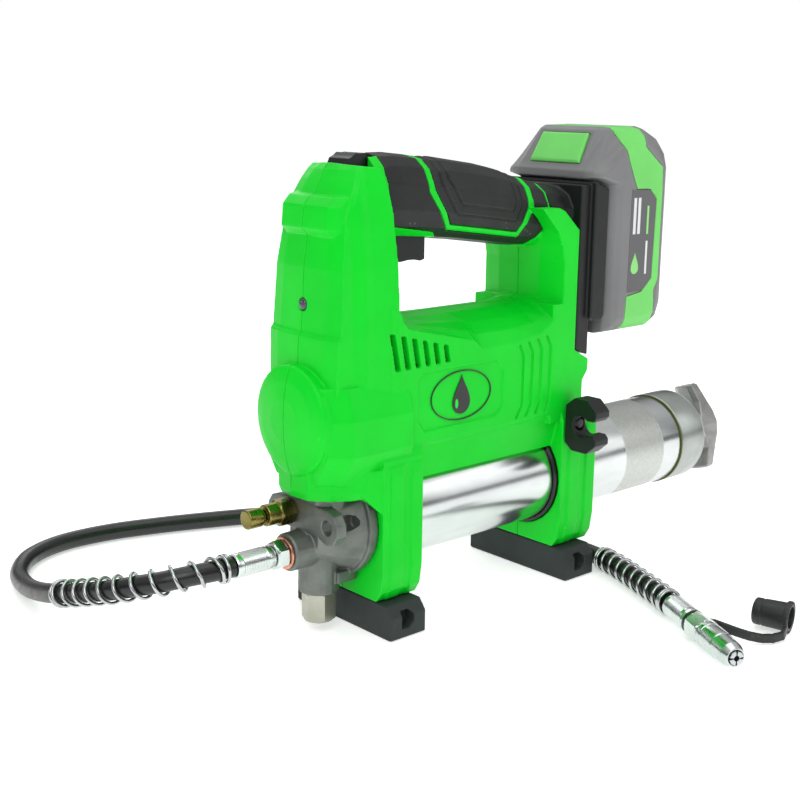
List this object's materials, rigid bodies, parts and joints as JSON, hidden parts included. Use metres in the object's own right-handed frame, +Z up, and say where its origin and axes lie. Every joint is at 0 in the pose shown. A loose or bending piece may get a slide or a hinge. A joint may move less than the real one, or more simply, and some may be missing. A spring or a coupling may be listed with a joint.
{
  "type": "cordless grease gun",
  "caption": "Cordless grease gun on two feet: motor-driven piston pump, cartridge barrel with plunger handle, slide-in battery, and a high-pressure hose with coupler.",
  "frame": {"origin": "middle of the front foot's underside, on the ground", "axes": "+X along the barrel towards the plunger handle, +Z up, so the pump head and hose port face -X and the badge side faces -Y"},
  "size_m": [0.4615, 0.3839, 0.263],
  "materials": {
    "green_plastic": "bright green moulded plastic, satin",
    "black_plastic": "black moulded plastic",
    "grip_rubber": "soft black rubber",
    "hose_rubber": "smooth black hose cover",
    "zinc_plate": "bright zinc plate",
    "barrel_chrome": "bright plated steel tube",
    "cast_aluminium": "as-cast, fine grain",
    "brass": "yellow brass",
    "copper": "copper",
    "beige_passivate": "pale beige passivated steel",
    "steel": "plain steel",
    "olive_gasket": "olive gasket",
    "battery_grey": "grey moulded plastic",
    "battery_green": "light green moulded plastic",
    "light_lens": "clear lens",
    "circuit_board": "circuit board"
  },
  "bodies": {
    "gun": {"housing_left": "green_plastic", "housing_right": "green_plastic", "battery_base": "black_plastic", "terminal_block": "black_plastic", "trigger_switch": "black_plastic", "badge": "black_plastic", "hose_clip": "black_plastic", "motor_magnet": "black_plastic", "grip_pad_left": "grip_rubber", "grip_pad_right": "grip_rubber", "grip_sleeve_left": "grip_rubber", "grip_sleeve_right": "grip_rubber", "front_foot": "grip_rubber", "rear_foot": "grip_rubber", "barrel_seal_ring": "grip_rubber", "dust_cap": "grip_rubber", "dust_cap_strap": "grip_rubber", "hose": "hose_rubber", "end_cap": "zinc_plate", "hose_nut": "zinc_plate", "hose_sleeve_front": "zinc_plate", "hose_sleeve_rear": "zinc_plate", "coupler_nut": "zinc_plate", "coupler_body": "zinc_plate", "barrel_tube": "barrel_chrome", "pump_head": "cast_aluminium", "motor_plate": "cast_aluminium", "bearing_plate": "cast_aluminium", "bleeder_body": "brass", "copper_washer": "copper", "relief_valve_nut": "beige_passivate", "hose_clip_screw": "steel", "follower_spring": "steel", "check_ball": "steel", "hose_spring_front": "steel", "hose_spring_rear": "steel", "coupler_jaws": "steel", "ring_gear": "steel", "motor_can": "steel", "trigger_spring": "steel", "cap_gasket": "olive_gasket", "led_lens": "light_lens", "control_board": "circuit_board"},
    "trigger_body": {"trigger": "black_plastic"},
    "dial": {"speed_dial": "black_plastic"},
    "follower": {"follower_rod": "steel", "follower_plate": "grip_rubber", "t_handle": "cast_aluminium"},
    "bleeder": {"bleeder_pin": "brass"},
    "plunger": {"pump_plunger": "steel"},
    "carrier": {"crank_carrier": "steel"},
    "rotor": {"motor_rotor": "steel"},
    "planet_1": {"planet_gear_1": "steel"},
    "planet_2": {"planet_gear_2": "steel"},
    "planet_3": {"planet_gear_3": "steel"},
    "battery": {"battery_shell": "battery_grey", "battery_band": "battery_green", "battery_cells": "steel"},
    "release": {"battery_release_button": "battery_green"}
  },
  "joints": [
    {"name": "trigger_slide", "type": "slide", "parent": "gun", "child": "trigger_body", "axis": [0, 0, 1], "range_m": [0, 0.005], "stiffness_N_per_m": 1400, "springref_m": -0.001, "deforming": ["trigger_spring"]},
    {"name": "dial_turn", "type": "hinge", "parent": "gun", "child": "dial", "pos_m": [-0.008, 0, 0.2408], "axis": [0, 1, 0], "range_deg": [-135, 135]},
    {"name": "follower_slide", "type": "slide", "parent": "gun", "child": "follower", "axis": [1, 0, 0], "range_m": [0, 0.185], "deforming": ["follower_spring"]},
    {"name": "bleeder_push", "type": "slide", "parent": "gun", "child": "bleeder", "axis": [1, 0, 0], "range_m": [0, 0.0012], "stiffness_N_per_m": 2000, "springref_m": -0.0005},
    {"name": "plunger_stroke", "type": "slide", "parent": "gun", "child": "plunger", "axis": [0, 0, 1], "range_m": [-0.006, 0.006]},
    {"name": "carrier_spin", "type": "hinge", "parent": "gun", "child": "carrier", "pos_m": [-0.0164, 0, 0.1175], "axis": [1, 0, 0], "continuous": true},
    {"name": "rotor_spin", "type": "hinge", "parent": "gun", "child": "rotor", "pos_m": [0.028, 0, 0.1175], "axis": [1, 0, 0], "continuous": true},
    {"name": "planet_1_spin", "type": "hinge", "parent": "carrier", "child": "planet_1", "pos_m": [-0.0097, 0.012, 0.1175], "axis": [1, 0, 0], "continuous": true},
    {"name": "planet_2_spin", "type": "hinge", "parent": "carrier", "child": "planet_2", "pos_m": [-0.0097, -0.006, 0.12789], "axis": [1, 0, 0], "continuous": true},
    {"name": "planet_3_spin", "type": "hinge", "parent": "carrier", "child": "planet_3", "pos_m": [-0.0097, -0.006, 0.10711], "axis": [1, 0, 0], "continuous": true},
    {"name": "battery_slide", "type": "slide", "parent": "gun", "child": "battery", "axis": [0, 0, 1], "range_m": [0, 0.09]},
    {"name": "release_press", "type": "slide", "parent": "battery", "child": "release", "axis": [0.8667, 0, -0.4989], "range_m": [0, 0.002], "stiffness_N_per_m": 1500, "springref_m": -0.0007}
  ],
  "couplings": [
    {"joint": "carrier_spin", "follows": "rotor_spin", "ratio": 0.2},
    {"joint": "planet_1_spin", "follows": "rotor_spin", "ratio": -0.53333},
    {"joint": "planet_2_spin", "follows": "rotor_spin", "ratio": -0.53333},
    {"joint": "planet_3_spin", "follows": "rotor_spin", "ratio": -0.53333}
  ]
}
